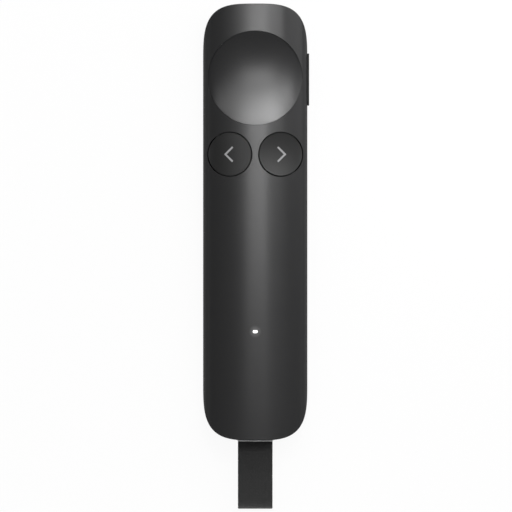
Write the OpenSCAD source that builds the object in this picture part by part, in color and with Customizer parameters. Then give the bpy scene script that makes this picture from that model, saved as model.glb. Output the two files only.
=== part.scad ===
// Wireless presentation clicker with a dished pointer key, two small keys, a side key,
// a status light and a USB receiver stowed in the bottom end on a webbing pull tab.
// +Z is up through the keys, +Y towards the pointer key's end and +X the side key's side.
// The origin lies on the flat underside, below the middle of the body.

/* [Body] */
// Width of the body
body_w = 30; // [29:0.5:32]
// Length of the body without the pull tab
body_l = 125.8; // [122:0.2:136]
// Height of the crown above the widest line
crown_h = 7; // [6.6:0.1:8]
// Depth of the belly below the widest line
belly_h = 6; // [5.8:0.1:6.6]
// Fullness of the crown's curve, where 2 is an ellipse
crown_n = 2.5; // [2.4:0.1:2.8]
// Fullness of the belly's curve
belly_n = 2.8; // [2.6:0.1:3.2]
// How far the belly's curve is cut flat to rest on
rest_cut = 0.4; // [0.3:0.05:0.6]
// Length over which each end rounds off, seen from above
end_round_l = 14.4; // [13:0.2:16]
// Fullness of the ends' curve
end_n = 3; // [2.7:0.1:3.2]
// Wall thickness of both shells
wall = 1.4; // [1.2:0.1:1.5]
// Width of the seam between the shells
seam_gap = 0.15; // [0.1:0.05:0.25]
// Height of the lip that locates the shells
lip_h = 0.9; // [0.6:0.1:1.2]
// Thickness of that lip
lip_t = 0.6; // [0.5:0.05:0.7]

/* [Keys] */
// Diameter of the pointer key's hole
pointer_hole_d = 27.2; // [26:0.1:27.4]
// From the top end to the pointer key's centre
pointer_inset = 21.5; // [21:0.1:22.5]
// Depth of the pointer key's dish
pointer_dish = 1.2; // [0.8:0.1:1.5]
// Gap round the pointer key
pointer_gap = 0.12; // [0.1:0.02:0.2]
// Thickness of the pointer key at its middle
pointer_cap_t = 1.8; // [1.6:0.1:2]
// Diameter of each small key's hole
small_hole_d = 13; // [12:0.1:13.1]
// Width of the bridge between the small keys' holes
key_bridge = 1.62; // [1.4:0.02:1.8]
// From the pointer key's centre to the small keys' centres
key_row_drop = 21.96; // [21.6:0.02:23]
// Gap round each small key
small_gap = 0.35; // [0.2:0.05:0.4]
// Depth of the next key's hollow
next_dish = 0.5; // [0.3:0.05:0.6]
// Thickness of the small keys at their thinnest
small_cap_t = 1.2; // [1:0.1:1.4]
// Travel of the pointer key and the small keys
key_travel = 0.35; // [0.2:0.05:0.4]
// Reach of a chevron's arm along X and along Y
chevron_arm = 2.09; // [1.6:0.01:2.4]
// Stroke width of the chevrons
chevron_t = 0.55; // [0.4:0.05:0.7]
// Depth of the chevrons' inlay
chevron_depth = 0.5; // [0.3:0.05:0.6]
// Length of the side key
side_key_l = 15; // [13:0.5:17]
// Height of the side key
side_key_h = 3.2; // [2.8:0.1:3.4]
// How far the side key stands proud
side_key_proud = 0.5; // [0.4:0.05:0.8]
// From the top end to the side key's middle
side_key_inset = 21.9; // [21:0.1:23]
// Travel of the side key
side_travel = 0.3; // [0.2:0.05:0.35]
// Gap round the side key
side_gap = 0.1; // [0.08:0.02:0.2]

/* [Board and switches] */
// Thickness of the board
board_t = 0.8; // [0.6:0.1:1]
// Height of the side switch's axis above the board
side_axis_h = 1.2; // [1.1:0.05:1.4]
// Gap between the board's edge and the pressed side key
board_gap = 0.5; // [0.3:0.05:0.7]
// Side of each switch housing
switch_w = 4.5; // [4:0.1:5]
// Height of each switch housing
switch_h = 2.2; // [2:0.1:2.3]
// Diameter of each switch stem
stem_d = 2; // [1.6:0.1:2.4]
// Running clearance round each stem
stem_gap = 0.05; // [0.03:0.01:0.08]
// How far each stem stands out of its housing
stem_rise = 0.7; // [0.6:0.05:0.9]
// Length of the status light's window
led_l = 1.6; // [1.2:0.05:2]
// Width of the status light's window
led_w = 1.05; // [0.8:0.05:1.15]
// From the bottom end to the status light
led_inset = 31.5; // [29:0.1:34]

/* [Battery] */
// Width of the cell
battery_w = 18; // [16:0.5:18]
// From the cell's end to the small keys' holes
battery_room = 3.94; // [3.6:0.02:8]
// Thickness of the cell
battery_t = 4.6; // [4:0.1:4.6]
// Thickness of the foam under it
foam_t = 0.5; // [0.4:0.1:0.6]

/* [Receiver dock] */
// Wall of the receiver housing beside the plug
housing_side_t = 0.5; // [0.4:0.05:0.6]
// Wall of the receiver housing above and below the plug
housing_cover_t = 0.95; // [0.8:0.05:1.05]
// Length of the receiver housing
receiver_l = 8.9; // [8:0.1:10]
// Sliding clearance round the receiver
dock_gap = 0.15; // [0.1:0.01:0.2]
// Thickness of the dock sleeve's walls
dock_wall = 0.8; // [0.7:0.05:0.85]
// Width of the receiver's plug
plug_w = 12; // [11.6:0.1:12.4]
// Height of the receiver's plug
plug_h = 4.5; // [4.3:0.1:4.7]
// Sheet thickness of the plug
plug_t = 0.3; // [0.25:0.05:0.35]
// Width of the webbing strap
strap_w = 10; // [8:0.5:10.4]
// Thickness of the strap
strap_t = 0.7; // [0.5:0.05:0.8]
// Gap between the strap's two layers
strap_gap = 0.8; // [0.6:0.1:1]
// How far the strap reaches past the bottom end
strap_out = 19.3; // [14:0.1:26]
// How far the strap's collar stands proud
collar_proud = 0.35; // [0.2:0.05:0.6]

/* [Vibration motor] */
// Diameter of the motor can
can_d = 4; // [3.6:0.1:4.2]
// Length of the motor can
can_l = 8.5; // [8:0.1:9]
// Radius of the eccentric weight
weight_r = 2.1; // [1.8:0.1:2.2]
// Length of the eccentric weight
weight_l = 3.2; // [2.6:0.1:3.4]

/* [Hidden] */
curve_steps = 18;
cap_sides = 60;
cap_rings = 8;
eps = 0.01;
slack = 0.1;
lip_gap = 0.05;
overcut = 1;

half_w = body_w / 2;
half_l = body_l / 2;
z_split = belly_h;
z_top = belly_h + crown_h;
z_board_top = z_split - side_axis_h;
z_board = z_board_top - board_t;

pointer_y = half_l - pointer_inset;
small_y = pointer_y - key_row_drop;
small_x = (small_hole_d + key_bridge) / 2;
led_y = led_inset - half_l;
side_y = half_l - side_key_inset;

// Keys: the skirt hangs clear of the side key, and tabs under the collar keep each key in
skirt_clear = 0.8;
skirt_z = z_split + side_key_h / 2 + skirt_clear;
tab_h = 0.8;
tab_reach = 1;
tab_root = 0.6;
collar_z = skirt_z + tab_h + slack;
collar_t = 1.1;
hole_z = skirt_z - key_travel - slack / 2;
pointer_tab_w = 6;
small_tab_w = 5;
skirt_t = 1.88;
post_d = 2.8;
post_root = 0.5;
small_roof_drop = 1.3;
pointer_roof = z_top - pointer_dish - pointer_cap_t;
small_roof = z_top - next_dish - small_cap_t - small_roof_drop;
chevron_tip = 1.26;

// Switches
switch_top = z_board_top + switch_h;
stem_top = switch_top + stem_rise;
stem_seat = 1.3;
stem_l = stem_rise + stem_seat;
stem_hole_l = stem_seat + 0.5;

// Side key and its switch
clip_t = 0.9;
clip_reach = 1.25;
clip_gap = 0.4;
side_key_in = half_w - wall - clip_gap - clip_t;
side_switch_l = 2.3;
side_stem_d = 1.6;
side_post_l = 0.7;
side_stem_tip = side_key_in - side_post_l;
side_switch_x = side_stem_tip - stem_rise;

// Status light
pipe_d = 2.2;
pipe_gap = 0.5;
pipe_boss_t = 0.7;
lamp_size = [1.6, 0.8, 0.6];
lamp_gap = 0.3;

// Charge port
port_w = 8.94;
port_h = 3.2;
port_l = 7.2;
port_t = 0.3;
port_r = 1.55;
port_back_t = 0.4;
port_block_l = 1.2;
port_tongue = [6.7, 0.7];
port_tongue_sink = 0.7;
port_contact = [0.25, 4.4, 0.05];
port_pitch = 0.5;
port_count = 12;

// Board and dock
dock_depth = led_inset - pipe_d / 2 - pipe_gap - port_l;
board_y0 = dock_depth - half_l;
port_y = board_y0 + slack;
dock_z = z_board_top + port_h / 2;
receiver_w = plug_w + 2 * housing_side_t + slack;
receiver_h = plug_h + 2 * housing_cover_t + slack;
bay_w = receiver_w + 2 * dock_gap;
bay_h = receiver_h + 2 * dock_gap;
bay_r = 1.6;
dock_back_t = 1;
bay_y = board_y0 - dock_back_t;
dock_outer_h = bay_h + 2 * dock_wall;
foot_x = 5;
foot_w = 1.2;
foot_l = 15;
spring_t = 0.2;
spring_h = 2.4;
spring_gap = 0.05;
spring_pad_l = 2;
spring_pad_y = bay_y - 7;

// Fasteners
screw_d = 1.6;
screw_head_d = 2.8;
screw_head_h = 1;
screw_cross = [1.6, 0.35];
screw_gap = 0.02;
screw_play = 0.1;
screw_floor = 0.5;
screw_seat_z = wall + screw_floor;
case_screw_hold = 3.2;
screw_tip = z_split + case_screw_hold;
board_screw_lift = 0.4;
boss_d = 4.2;
post_boss_d = 3.6;
boss_gap = 0.2;
case_screw_x = bay_w / 2 + dock_wall + boss_gap + boss_d / 2;
case_screw_top = 5.6;
case_screw_bottom = 12.9;
case_screw_ys = [half_l - case_screw_top, case_screw_bottom - half_l];
board_w = 2 * (side_key_in - side_travel - board_gap);
board_y1 = half_l - case_screw_top - boss_d / 2 - 0.7;
board_screw_x = board_w / 2 - 2.2;
board_screw_inset = 4.5;
board_screw_ys = [board_y1 - board_screw_inset, board_y0 + 3.7];

// Receiver
plug_tip = bay_y - 0.5;
housing_y1 = receiver_l - half_l;
housing_front_t = 2.5;
housing_r = bay_r - dock_gap;
cavity_y = housing_front_t - half_l;
plug_r = 0.6;
plug_root = 0.3;
plug_window = [2.5, 2.2];
plug_window_x = 2.9;
plug_window_y = plug_tip - 6.2;
tongue_tip = plug_tip - 0.9;
inner_w = plug_w - 2 * plug_t;
inner_h = plug_h - 2 * plug_t;
card_gap = 0.2;
card_w = inner_w - 2 * card_gap;
card_y = cavity_y + 0.4;
card_t = 0.6;
card_z = dock_z - 0.1;
pad_t = 0.15;
pad_w = 1.2;
pad_xs = [-3.5, -1, 1, 3.5];
pad_ys = [tongue_tip - 8.2, tongue_tip - 0.6];
receiver_chip_size = [5, 4.6, 1];
strap_h = 2 * strap_t + strap_gap;
strap_end = -half_l - strap_out;
strap_root = cavity_y + slack;
strap_fold_y = strap_end + strap_h / 2;
collar_rim = 0.4;
collar_deep = 0.7;
wedge_sink = 0.5;

// Battery
battery_y = led_y + 2.4;
battery_z = z_board_top + foam_t;
battery_r = 0.8;
battery_end = small_y - small_hole_d / 2 - battery_room;
battery_l = battery_end - battery_y;
foam_inset = 1;
socket_y = battery_end + 3.2;
socket_size = [6.4, 3.4, 2.8];
plug_size = [5.2, 1.4, 2.2];
plug_lift = 0.2;
plug_slip = 0.05;
lead_d = 0.9;
lead_route = [
    [6, 0.15, 3.2], [5.9, 0.8, 3.2], [5.2, 1.2, 3.0], [4.0, 1.2, 2.4],
    [2.6, 0.9, 1.8], [1.5, 0.9, 1.5], [1.1, 1.2, 1.4], [1.1, 1.8, 1.4]
];

// Vibration motor, across the top end
cradle_t = 0.8;
motor_y = board_y1 + can_d / 2 + cradle_t + 0.4;
motor_z = z_split - 0.5;
can_x0 = -6.5;
cradle_x0 = can_x0 + 0.6;
cradle_x1 = can_x0 + can_l - 1;
can_fit = 0.02;
shaft_d = 0.7;
shaft_gap = 0.03;
shaft_seat = 2.8;
shaft_seat_gap = 0.2;
shaft_end = 0.3;
weight_gap = 0.6;
weight_hub_t = 0.5;
weight_x0 = can_x0 + can_l + weight_gap;
haptic_lead_d = 0.5;
haptic_lead_x = 0.3;
haptic_lead_pitch = 0.7;
haptic_route = [
    [-2, 0.5], [-2.4, 0.5], [-2.9, 0.45], [-3.5, 0.2], [-4.1, -0.15], [-4.7, -0.4], [-5.3, -0.45]
];

// Chips and small parts on the board, as width, length and height
shield_y = small_y + 11.5;
shield_x = -4;
shield_size = [10, 9, 1.6];
shield_t = 0.2;
radio_size = [5, 5, 0.9];
crystal_size = [2, 1.6, 0.6];
crystal_x = shield_x + shield_size[0] / 2 + 1.9;
sensor_size = [3, 2.5, 0.8];
sensor_x = crystal_x + 0.5;
sensor_y = shield_y + 3.4;
charge_size = [2.6, 2.6, 0.8];
charge_x = port_w / 2 + 2.33;
charge_y = led_y - 0.6;
passive_size = [1, 0.6, 0.5];
passive_xs = [6.6, 8.4];
passive_pitch = 2;
passive_rows = 5;
antenna_w = 10;
antenna_h = 2;
antenna_deep = 2;
antenna_t = 0.2;
antenna_y = board_y1 - 0.5;

// ---- Curves of the body ----

// A quarter of a superellipse with half axes a and b: fullness n, angle t from 0 to 90
function quarter(a, b, n, t) = [a * pow(cos(t), 2 / n), b * pow(sin(t), 2 / n)];

// Height of the body's upper surface at x
function crown_z(x) =
    z_split + crown_h * pow(1 - pow(abs(x) / half_w, crown_n), 1 / crown_n);

function mirrored(points) = [for (p = points) [-p[0], p[1]]];
function reversed(points) = [for (i = [len(points) - 1:-1:0]) points[i]];
function without_first(points) = [for (i = [1:len(points) - 1]) points[i]];
function without_ends(points) = [for (i = [1:len(points) - 2]) points[i]];

// Section of the body across X and Z, moved in from the outside by inset
function crown_half(inset) = [for (i = [0:curve_steps])
    quarter(half_w - inset, crown_h - inset, crown_n, 90 * i / curve_steps) + [0, z_split]];
function belly_curve_h(inset) = belly_h + rest_cut - inset;
function belly_stop(inset) = asin(pow((belly_h - inset) / belly_curve_h(inset), belly_n / 2));
function belly_half(inset) = [for (i = [0:curve_steps])
    let (p = quarter(half_w - inset, belly_curve_h(inset), belly_n,
        belly_stop(inset) * i / curve_steps)) [p[0], z_split - p[1]]];
function section_points(inset) = concat(
    crown_half(inset),
    reversed(mirrored(without_ends(crown_half(inset)))),
    mirrored(belly_half(inset)),
    reversed(without_first(belly_half(inset))));

// Plan of the body, moved in from the outside by inset
function end_half(inset) = [for (i = [0:curve_steps])
    quarter(half_w - inset, end_round_l - inset, end_n, 90 * i / curve_steps)
        + [0, half_l - end_round_l]];
function flipped(points) = [for (p = points) [p[0], -p[1]]];
function plan_points(inset) = concat(
    end_half(inset),
    reversed(mirrored(without_ends(end_half(inset)))),
    mirrored(flipped(end_half(inset))),
    reversed(flipped(without_ends(end_half(inset)))),
    [flipped(end_half(inset))[0]]);

module plan_prism(inset) {
    translate([0, 0, -overcut])
        linear_extrude(height = z_top + 2 * overcut)
            polygon(plan_points(inset));
}

module body_solid(inset) {
    intersection() {
        rotate([90, 0, 0])
            linear_extrude(height = body_l + 2 * overcut, center = true)
                polygon(section_points(inset));
        plan_prism(inset);
    }
}

// Everything between two heights
module layer(z0, z1) {
    translate([-body_w, -body_l, z0])
        cube([2 * body_w, 2 * body_l, z1 - z0]);
}

module body_layer(inset, z0, z1) {
    intersection() {
        body_solid(inset);
        layer(z0, z1);
    }
}

// ---- Shared shapes ----

function span(a, b) = [min(a, b), max(a, b)];
module block(x, y, z) {
    translate([x[0], y[0], z[0]])
        cube([x[1] - x[0], y[1] - y[0], z[1] - z[0]]);
}

module rod(d, z0, z1) {
    translate([0, 0, z0])
        cylinder(d = d, h = z1 - z0, $fn = 64);
}

// Rounded rectangle w by h with corner radius r, about its middle
module rounded_rect(w, h, r) {
    square([w - 2 * r, h], center = true);
    square([w, h - 2 * r], center = true);
    for (sx = [-1, 1])
        for (sy = [-1, 1])
            translate([sx * (w / 2 - r), sy * (h / 2 - r)])
                circle(r = r, $fn = 48);
}

// Bar of rounded rectangle section along Y at the dock's height, from y0 to y1
module dock_bar(w, h, r, y0, y1) {
    translate([0, y1, dock_z])
        rotate([90, 0, 0])
            linear_extrude(height = y1 - y0)
                rounded_rect(w, h, r);
}

// Stadium l long and h high, as a bar along X from x0 to x1
module side_bar(l, h, x0, x1) {
    translate([x0, side_y, z_split])
        rotate([90, 0, 90])
            linear_extrude(height = x1 - x0) {
                square([l - h, h], center = true);
                for (s = [-1, 1])
                    translate([s * (l - h) / 2, 0])
                        circle(d = h, $fn = 48);
            }
}

// Round wire of diameter d swept along points
function unit(v) = v / norm(v);
function heading(p, i) = unit(p[min(i + 1, len(p) - 1)] - p[max(i - 1, 0)]);
module wire(points, d, up = [0, 0, 1], sides = 8) {
    last = len(points) - 1;
    rings = [for (i = [0:last])
        let (side = unit(cross(heading(points, i), up)), top = cross(side, heading(points, i)))
            for (k = [0:sides - 1])
                points[i] + d / 2 * (cos(360 * k / sides) * side + sin(360 * k / sides) * top)];
    tube = [for (i = [0:last - 1]) for (k = [0:sides - 1])
        let (n = (k + 1) % sides)
            [i * sides + k, (i + 1) * sides + k, (i + 1) * sides + n, i * sides + n]];
    polyhedron(
        points = rings,
        faces = concat(
            tube,
            [[for (k = [0:sides - 1]) k]],
            [[for (k = [sides - 1:-1:0]) last * sides + k]]));
}

// ---- Keys ----

// Round cap about (cx, cy) whose top follows the body's crown and sinks by dish at its middle
function cap_height(cx, x, y, dish, hole_r) =
    crown_z(cx + x) - dish * (1 - (x * x + y * y) / (hole_r * hole_r));
module key_cap(cx, cy, r, dish, hole_r) {
    turn = 360 / cap_sides;
    top = [for (i = [1:cap_rings]) for (k = [0:cap_sides - 1])
        let (x = r * i / cap_rings * cos(turn * k), y = r * i / cap_rings * sin(turn * k))
            [cx + x, cy + y, cap_height(cx, x, y, dish, hole_r)]];
    foot = [for (k = [0:cap_sides - 1])
        [cx + r * cos(turn * k), cy + r * sin(turn * k), skirt_z]];
    middle = len(top) + len(foot);
    rim = (cap_rings - 1) * cap_sides;
    fan = [for (k = [0:cap_sides - 1]) [middle, (k + 1) % cap_sides, k]];
    bands = [for (i = [0:cap_rings - 2]) for (k = [0:cap_sides - 1])
        let (a = i * cap_sides + k, b = i * cap_sides + (k + 1) % cap_sides)
            each [[a, b, b + cap_sides], [a, b + cap_sides, a + cap_sides]]];
    skirt = [for (k = [0:cap_sides - 1])
        let (n = (k + 1) % cap_sides)
            [rim + k, rim + n, rim + cap_sides + n, rim + cap_sides + k]];
    polyhedron(
        points = concat(top, foot, [[cx, cy, cap_height(cx, 0, 0, dish, hole_r)]]),
        faces = concat(fan, bands, skirt, [[for (k = [0:cap_sides - 1]) rim + cap_sides + k]]));
}

// Cap hollowed from below, with a post for its switch and two tabs that keep it in
module key_body(cx, cy, hole_d, gap, dish, roof, tab_w) {
    r = hole_d / 2 - gap;
    difference() {
        key_cap(cx, cy, r, dish, hole_d / 2);
        translate([cx, cy, 0])
            rod(2 * (r - skirt_t), skirt_z - overcut, roof);
    }
    translate([cx, cy, 0])
        rod(post_d, stem_top, roof + post_root);
    for (s = [-1, 1])
        translate([cx, cy + s * (r + (tab_reach - tab_root) / 2), skirt_z + tab_h / 2])
            cube([tab_w, tab_reach + tab_root, tab_h], center = true);
}

// Upright prism of a chevron whose tip points along s from (cx, cy)
module chevron_prism(cx, cy, s, z0) {
    h = chevron_t / sqrt(2);
    e = chevron_t / (2 * sqrt(2));
    tip = chevron_tip;
    a = chevron_arm;
    translate([cx, cy, z0])
        linear_extrude(height = z_top - z0 + overcut)
            polygon([
                [s * (tip + h), 0], [s * (tip - a + e), a + e], [s * (tip - a - e), a - e],
                [s * (tip - h), 0], [s * (tip - a - e), e - a], [s * (tip - a + e), -a - e]]);
}

back_floor = crown_z(small_x + chevron_tip) - chevron_depth;
next_floor = crown_z(small_x + chevron_tip) - next_dish - chevron_depth;

module pointer_key() {
    color("dimgray")
        key_body(0, pointer_y, pointer_hole_d, pointer_gap, pointer_dish, pointer_roof,
            pointer_tab_w);
}

module small_key(s, dish, floor_z) {
    color([0.22, 0.22, 0.22])
        difference() {
            key_body(s * small_x, small_y, small_hole_d, small_gap, dish, small_roof,
                small_tab_w);
            chevron_prism(s * small_x, small_y, s, floor_z);
        }
}

module chevron(s, dish, floor_z) {
    color("silver")
        intersection() {
            key_cap(s * small_x, small_y, small_hole_d / 2 - small_gap, dish, small_hole_d / 2);
            chevron_prism(s * small_x, small_y, s, floor_z);
        }
}

module switch_at(x, y) {
    color("black")
        translate([x, y, 0])
            difference() {
                translate([0, 0, z_board_top + switch_h / 2])
                    cube([switch_w, switch_w, switch_h], center = true);
                rod(stem_d + 2 * stem_gap, switch_top - stem_hole_l, switch_top + overcut);
            }
}

module stem_at(x, y) {
    color("ivory")
        translate([x, y, 0])
            rod(stem_d, stem_top - stem_l, stem_top);
}

module side_key() {
    color("dimgray") {
        side_bar(side_key_l, side_key_h, side_key_in + clip_t, half_w + side_key_proud);
        translate([side_stem_tip, side_y, z_split])
            rotate([0, 90, 0])
                cylinder(d = side_stem_d, h = side_key_in + clip_t - side_stem_tip, $fn = 48);
    }
}

module side_key_clip() {
    color("gray")
        difference() {
            side_bar(side_key_l + 2 * clip_reach, side_key_h, side_key_in, side_key_in + clip_t);
            translate([side_key_in - overcut, side_y, z_split])
                rotate([0, 90, 0])
                    cylinder(d = side_stem_d, h = clip_t + 2 * overcut, $fn = 48);
        }
}

module side_switch() {
    h = 2 * (z_split - z_board_top);
    color("black")
        difference() {
            block([side_switch_x - side_switch_l, side_switch_x],
                [side_y - switch_w / 2, side_y + switch_w / 2], [z_board_top, z_board_top + h]);
            translate([side_switch_x - stem_hole_l, side_y, z_split])
                rotate([0, 90, 0])
                    cylinder(d = side_stem_d + 2 * stem_gap, h = stem_hole_l + overcut, $fn = 48);
        }
}

module side_stem() {
    color("ivory")
        translate([side_stem_tip - stem_l, side_y, z_split])
            rotate([0, 90, 0])
                cylinder(d = side_stem_d, h = stem_l, $fn = 48);
}

// ---- Shells ----

module side_key_slot() {
    side_bar(side_key_l + 2 * side_gap, side_key_h + 2 * side_gap, side_key_in,
        half_w + overcut);
}

module dock_mouth() {
    dock_bar(bay_w, bay_h, bay_r, -half_l - overcut, wall + overcut - half_l);
}

module key_holes() {
    translate([0, pointer_y, 0])
        rod(pointer_hole_d, hole_z, z_top + overcut);
    for (s = [-1, 1])
        translate([s * small_x, small_y, 0])
            rod(small_hole_d, hole_z, z_top + overcut);
}

module key_collars() {
    intersection() {
        body_layer(0, collar_z, z_top + overcut);
        union() {
            translate([0, pointer_y, 0])
                rod(pointer_hole_d + 2 * collar_t, collar_z, z_top + overcut);
            for (s = [-1, 1])
                translate([s * small_x, small_y, 0])
                    rod(small_hole_d + 2 * collar_t, collar_z, z_top + overcut);
        }
    }
}

// Runs its children at the four case screws
module at_case_screws() {
    for (s = [-1, 1])
        for (y = case_screw_ys)
            translate([s * case_screw_x, y, 0])
                children();
}

module at_board_screws() {
    for (s = [-1, 1])
        for (y = board_screw_ys)
            translate([s * board_screw_x, y, 0])
                children();
}

pipe_boss_z = z_board_top + port_h + pipe_gap;

module led_window() {
    square([led_l - led_w, led_w], center = true);
    for (s = [-1, 1])
        translate([s * (led_l - led_w) / 2, 0])
            circle(d = led_w, $fn = 32);
}

// The lip's ring between two heights, grown by gap for the rebate that it enters
module lip_ring(gap, z0, z1) {
    difference() {
        body_layer(wall - lip_t - gap, z0, z1);
        body_solid(wall + gap);
    }
}

module top_case() {
    color([0.25, 0.25, 0.25])
        difference() {
            union() {
                difference() {
                    body_layer(0, z_split + seam_gap, z_top + overcut);
                    body_solid(wall);
                }
                key_collars();
                intersection() {
                    body_layer(wall / 2, z_split + seam_gap, z_top);
                    at_case_screws()
                        rod(post_boss_d, z_split + seam_gap, z_top);
                }
                translate([0, led_y, 0])
                    rod(pipe_d + 2 * pipe_boss_t, pipe_boss_z, z_top - wall / 2);
            }
            lip_ring(lip_gap, z_split, z_split + lip_h + slack);
            key_holes();
            side_key_slot();
            dock_mouth();
            at_case_screws()
                rod(screw_d + 2 * screw_gap, z_split, screw_tip + slack);
            translate([0, led_y, 0]) {
                rod(pipe_d + slack, pipe_boss_z - overcut, z_top - wall);
                translate([0, 0, z_top - wall - eps])
                    linear_extrude(height = wall + overcut)
                        led_window();
            }
        }
}

module bottom_case() {
    color([0.22, 0.22, 0.22])
        difference() {
            union() {
                difference() {
                    body_layer(0, -overcut, z_split);
                    body_solid(wall);
                }
                lip_ring(0, z_split - lip_h, z_split + lip_h);
                intersection() {
                    body_layer(wall / 2, -overcut, z_split);
                    union() {
                        at_case_screws()
                            rod(boss_d, wall / 2, z_split);
                        at_board_screws()
                            rod(post_boss_d, wall / 2, z_board);
                    }
                }
            }
            side_key_slot();
            dock_mouth();
            at_case_screws() {
                rod(screw_head_d + 2 * screw_play, -overcut, screw_seat_z);
                rod(screw_d + 2 * screw_play, screw_seat_z - overcut, z_split + overcut);
            }
            at_board_screws()
                rod(screw_d + 2 * screw_gap, wall, z_board + overcut);
        }
}

// Pan-head screw, head down or up, with a cross recess
module screw(head_z, tip_z) {
    dir = tip_z > head_z ? 1 : -1;
    color("gray")
        difference() {
            union() {
                rod(screw_d, min(head_z, tip_z), max(head_z, tip_z));
                rod(screw_head_d, min(head_z, head_z - dir * screw_head_h),
                    max(head_z, head_z - dir * screw_head_h));
            }
            for (turn = [0, 90])
                translate([0, 0, head_z - dir * screw_head_h])
                    rotate([0, 0, turn])
                        cube([screw_cross[0], screw_cross[1], screw_head_h], center = true);
        }
}

module board_screws() {
    at_board_screws()
        screw(z_board_top, wall + board_screw_lift);
}

module case_screws() {
    at_case_screws()
        screw(screw_seat_z, screw_tip);
}

// ---- Board ----

module main_board() {
    color("darkgreen")
        difference() {
            intersection() {
                block([-board_w / 2, board_w / 2], [board_y0 + slack, board_y1],
                    [z_board, z_board_top]);
                plan_prism(wall + 0.3);
            }
            at_board_screws()
                rod(screw_d + 2 * screw_play, z_board - overcut, z_board_top + overcut);
        }
}

// Flat-topped part of the given size on the board about (x, y)
module chip(x, y, size, tint) {
    color(tint)
        translate([x - size[0] / 2, y - size[1] / 2, z_board_top])
            cube(size);
}

module radio_shield() {
    difference() {
        chip(shield_x, shield_y, shield_size, "silver");
        chip(shield_x, shield_y, shield_size - [2, 2, 1] * shield_t, "silver");
    }
}

module antenna() {
    color("gold") {
        block([-antenna_w / 2, antenna_w / 2], [antenna_y - antenna_t, antenna_y],
            [z_board_top, z_board_top + antenna_h - antenna_t]);
        block([-antenna_w / 2, antenna_w / 2], [antenna_y - antenna_deep, antenna_y],
            [z_board_top + antenna_h - antenna_t, z_board_top + antenna_h]);
    }
}

module board_passives() {
    for (x = passive_xs)
        for (i = [0:passive_rows - 1])
            chip(x, shield_y + (i - (passive_rows - 1) / 2) * passive_pitch, passive_size, "tan");
}

module light_pipe() {
    color("white")
        translate([0, led_y, 0]) {
            rod(pipe_d, z_board_top + lamp_size[2] + lamp_gap, z_top - wall);
            translate([0, 0, z_top - wall])
                linear_extrude(height = wall)
                    led_window();
        }
}

// ---- Charge port ----

module port_inside(y0, y1) {
    dock_bar(port_w - 2 * port_t, port_h - 2 * port_t, port_r - port_t, y0, y1);
}

module charge_port_shell() {
    color("silver")
        difference() {
            dock_bar(port_w, port_h, port_r, port_y, port_y + port_l);
            port_inside(port_y - overcut, port_y + port_l - port_back_t);
        }
}

module charge_port_tongue() {
    block_y = port_y + port_l - port_back_t - port_block_l;
    color("black") {
        block([-port_tongue[0] / 2, port_tongue[0] / 2], [port_y + port_tongue_sink, block_y],
            [dock_z - port_tongue[1] / 2, dock_z + port_tongue[1] / 2]);
        port_inside(block_y, block_y + port_block_l);
    }
}

module charge_port_contacts() {
    z = (port_tongue[1] + port_contact[2]) / 2;
    y = port_y + 1.1 + port_contact[1] / 2;
    color("gold")
        for (side = [-1, 1])
            for (i = [0:port_count - 1])
                translate([(i - (port_count - 1) / 2) * port_pitch, y, dock_z + side * z])
                    cube(port_contact, center = true);
}

// ---- Battery ----

module battery_cell() {
    color("lightsteelblue")
        translate([0, battery_end, battery_z + battery_t / 2])
            rotate([90, 0, 0])
                linear_extrude(height = battery_l)
                    rounded_rect(battery_w, battery_t, battery_r);
}

module battery_foam() {
    color("darkslategray")
        block([foam_inset - battery_w / 2, battery_w / 2 - foam_inset],
            [battery_y + foam_inset, battery_end - foam_inset], [z_board_top, battery_z]);
}

module battery_leads() {
    for (s = [-1, 1])
        color(s > 0 ? "red" : "black")
            wire([for (p = lead_route) [s * p[0], battery_end + p[1], z_board_top + p[2]]],
                lead_d);
}

module battery_plug() {
    color("white")
        block([-plug_size[0] / 2, plug_size[0] / 2], [socket_y - plug_size[1], socket_y],
            [z_board_top + plug_lift, z_board_top + plug_lift + plug_size[2]]);
}

module battery_socket() {
    half = plug_size[0] / 2 + plug_slip;
    front = socket_y - 0.8;
    color("ivory")
        difference() {
            block([-socket_size[0] / 2, socket_size[0] / 2], [front, front + socket_size[1]],
                [z_board_top, z_board_top + socket_size[2]]);
            block([-half, half], [front - overcut, socket_y],
                [z_board_top + plug_lift - plug_slip,
                    z_board_top + plug_lift + plug_size[2] + plug_slip]);
        }
}

// ---- Vibration motor ----

module along_motor(x) {
    translate([x, motor_y, motor_z])
        rotate([0, 90, 0])
            children();
}

module haptic_can() {
    deep = shaft_seat + shaft_seat_gap;
    color("silver")
        difference() {
            along_motor(can_x0)
                cylinder(d = can_d, h = can_l, $fn = 64);
            along_motor(can_x0 + can_l - deep)
                cylinder(d = shaft_d + 2 * shaft_gap, h = deep + overcut, $fn = 48);
        }
}

module haptic_shaft() {
    color("gray")
        along_motor(can_x0 + can_l - shaft_seat)
            cylinder(d = shaft_d, h = shaft_seat + weight_gap + weight_l + shaft_end, $fn = 48);
}

// Half disc that hangs below the shaft, on a hub
module haptic_weight() {
    color("goldenrod")
        along_motor(weight_x0)
            linear_extrude(height = weight_l)
                difference() {
                    union() {
                        intersection() {
                            circle(r = weight_r, $fn = 64);
                            translate([weight_r, 0])
                                square([2 * weight_r, 3 * weight_r], center = true);
                        }
                        circle(d = shaft_d + 2 * weight_hub_t, $fn = 48);
                    }
                    circle(d = shaft_d, $fn = 48);
                }
}

module haptic_cradle() {
    reach = can_d / 2 + cradle_t;
    color([0.3, 0.3, 0.35])
        difference() {
            intersection() {
                block([cradle_x0, cradle_x1], [motor_y - reach, motor_y + reach],
                    [wall - overcut, motor_z]);
                body_solid(wall);
            }
            along_motor(can_x0 - overcut)
                cylinder(d = can_d + 2 * can_fit, h = can_l + 2 * overcut, $fn = 64);
        }
}

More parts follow.
